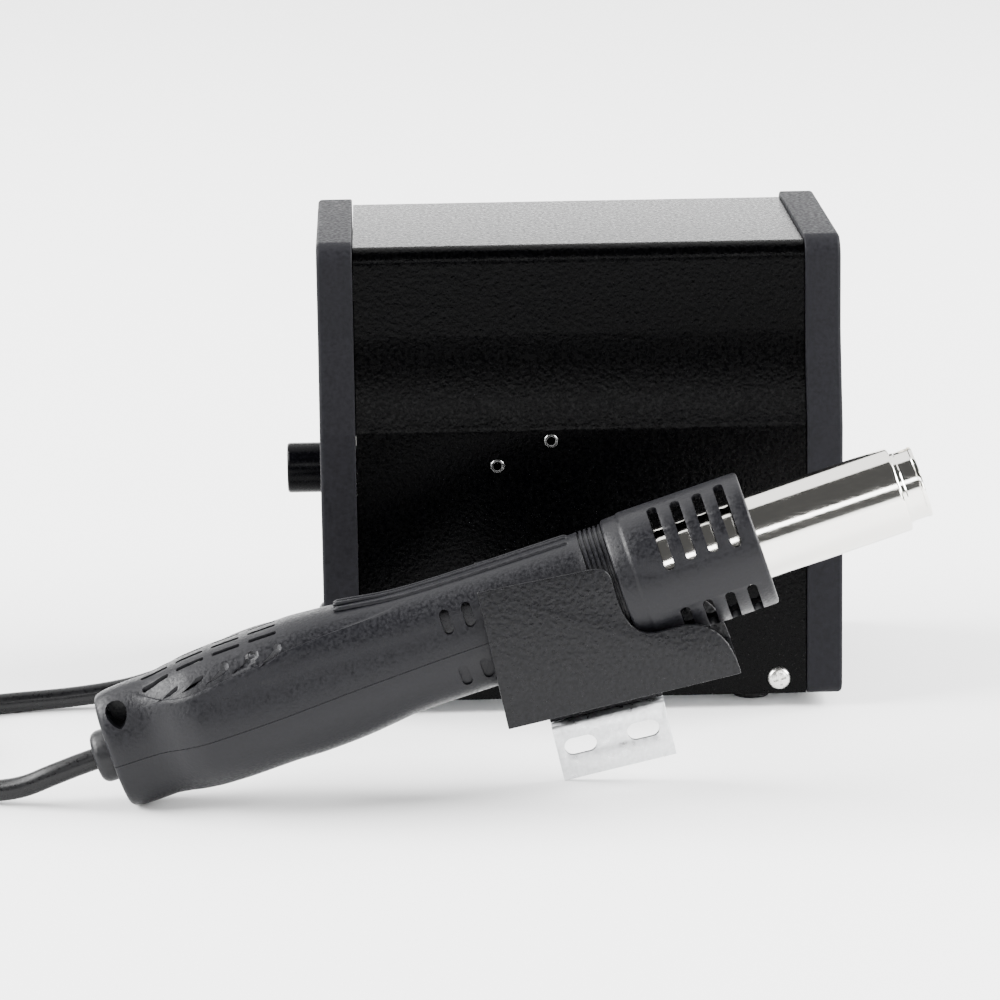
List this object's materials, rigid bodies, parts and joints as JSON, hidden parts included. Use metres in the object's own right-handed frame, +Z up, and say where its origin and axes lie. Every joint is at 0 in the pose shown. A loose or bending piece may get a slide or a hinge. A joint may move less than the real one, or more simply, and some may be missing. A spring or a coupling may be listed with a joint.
{
  "type": "hot air station",
  "caption": "Boxy hot air rework station with end bezels, a corded hot-air gun lying in its loose cradle bracket, and a mains inlet.",
  "frame": {"origin": "middle of the set's footprint on the table, cords left out: half way across and along the box that holds the unit, the cradle and the gun, at table height", "axes": "+X from the unit towards the gun lying beside it, -Y out of the unit's front panel, +Z up"},
  "size_m": [0.2156, 0.3595, 0.1439],
  "materials": {
    "front_bezel": "fine grain",
    "rear_bezel": "fine grain",
    "top_cover": "fine black powder coat",
    "base_plate": "galvanized",
    "front_panel": "matte",
    "rear_panel": "matte",
    "display_window": "dark red tinted",
    "display_module": "matte",
    "airflow_knob": "satin",
    "potentiometer": "plain",
    "button_up": "matte",
    "button_down": "matte",
    "switch_housing": "matte",
    "power_rocker": "semi gloss",
    "station_gland": "matte",
    "iec_inlet": "matte",
    "fuse_drawer": "matte",
    "transformer_core": "laminated",
    "transformer_winding": "tape wrapped",
    "main_board": "solder mask",
    "heat_sink": "extruded",
    "filter_capacitor": "sleeved",
    "start_capacitor": "sleeved",
    "cradle_channel": "fine black powder coat",
    "cradle_tab": "galvanized",
    "handle_top": "fine spark-eroded grain",
    "handle_bottom": "fine spark-eroded grain",
    "vent_collar": "fine grain",
    "barrel_tube": "polished",
    "outlet_ring": "polished",
    "mica_liner": "mica",
    "heater_element": "oxidised wire",
    "heater_core": "unglazed",
    "thermocouple": "plain",
    "blower_housing": "matte",
    "impeller": "matte",
    "blower_motor": "plain",
    "handle_board": "solder mask",
    "gun_gland": "matte",
    "cord_gun_lead": "satin sheath",
    "cord_station_lead": "satin sheath",
    "cord_coil": "satin sheath",
    "cord_tie": "matte",
    "foot_1": "matte",
    "side_screw_1": "nickel plated",
    "handle_screw_1": "plain",
    "foot_2": "matte",
    "side_screw_2": "nickel plated",
    "handle_screw_2": "plain",
    "foot_3": "matte",
    "side_screw_3": "nickel plated",
    "handle_screw_3": "plain",
    "foot_4": "matte",
    "side_screw_4": "nickel plated",
    "handle_screw_4": "plain",
    "rivnut_1": "plated",
    "rivnut_2": "plated"
  },
  "bodies": {
    "station": {"front_bezel": "front_bezel", "rear_bezel": "rear_bezel", "top_cover": "top_cover", "base_plate": "base_plate", "front_panel": "front_panel", "rear_panel": "rear_panel", "display_window": "display_window", "display_module": "display_module", "potentiometer": "potentiometer", "switch_housing": "switch_housing", "station_gland": "station_gland", "iec_inlet": "iec_inlet", "transformer_core": "transformer_core", "transformer_winding": "transformer_winding", "main_board": "main_board", "heat_sink": "heat_sink", "filter_capacitor": "filter_capacitor", "start_capacitor": "start_capacitor", "cradle_channel": "cradle_channel", "cradle_tab": "cradle_tab", "cord_gun_lead": "cord_gun_lead", "cord_station_lead": "cord_station_lead", "cord_coil": "cord_coil", "cord_tie": "cord_tie", "foot_1": "foot_1", "side_screw_1": "side_screw_1", "foot_2": "foot_2", "side_screw_2": "side_screw_2", "foot_3": "foot_3", "side_screw_3": "side_screw_3", "foot_4": "foot_4", "side_screw_4": "side_screw_4", "rivnut_1": "rivnut_1", "rivnut_2": "rivnut_2"},
    "gun": {"handle_top": "handle_top", "handle_bottom": "handle_bottom", "vent_collar": "vent_collar", "barrel_tube": "barrel_tube", "outlet_ring": "outlet_ring", "mica_liner": "mica_liner", "heater_element": "heater_element", "heater_core": "heater_core", "thermocouple": "thermocouple", "blower_housing": "blower_housing", "blower_motor": "blower_motor", "handle_board": "handle_board", "gun_gland": "gun_gland", "handle_screw_1": "handle_screw_1", "handle_screw_2": "handle_screw_2", "handle_screw_3": "handle_screw_3", "handle_screw_4": "handle_screw_4"},
    "airflow_knob": {"airflow_knob": "airflow_knob"},
    "button_up": {"button_up": "button_up"},
    "button_down": {"button_down": "button_down"},
    "power_rocker": {"power_rocker": "power_rocker"},
    "fuse_drawer": {"fuse_drawer": "fuse_drawer"},
    "impeller": {"impeller": "impeller"}
  },
  "joints": [
    {"name": "gun_lift", "type": "slide", "parent": "station", "child": "gun", "axis": [0, -0.2215, 0.9751], "range_m": [0, 0.1]},
    {"name": "airflow_turn", "type": "hinge", "parent": "station", "child": "airflow_knob", "pos_m": [-0.05349, -0.05811, 0.0662], "axis": [0, -1, 0], "range_deg": [-150, 150]},
    {"name": "button_up_press", "type": "slide", "parent": "station", "child": "button_up", "axis": [0, 1, 0], "range_m": [0, 0.001], "stiffness_N_per_m": 600, "springref_m": -0.001},
    {"name": "button_down_press", "type": "slide", "parent": "station", "child": "button_down", "axis": [0, 1, 0], "range_m": [0, 0.001], "stiffness_N_per_m": 600, "springref_m": -0.001},
    {"name": "power_tilt", "type": "hinge", "parent": "station", "child": "power_rocker", "pos_m": [-0.07549, -0.04611, 0.028], "axis": [0, 0, 1], "range_deg": [0, 12]},
    {"name": "fuse_drawer_slide", "type": "slide", "parent": "station", "child": "fuse_drawer", "axis": [0, 1, 0], "range_m": [0, 0.012]},
    {"name": "blower_spin", "type": "hinge", "parent": "gun", "child": "impeller", "pos_m": [0.08731, -0.07065, 0.02774], "axis": [0, -0.314, 0.9494], "continuous": true}
  ]
}
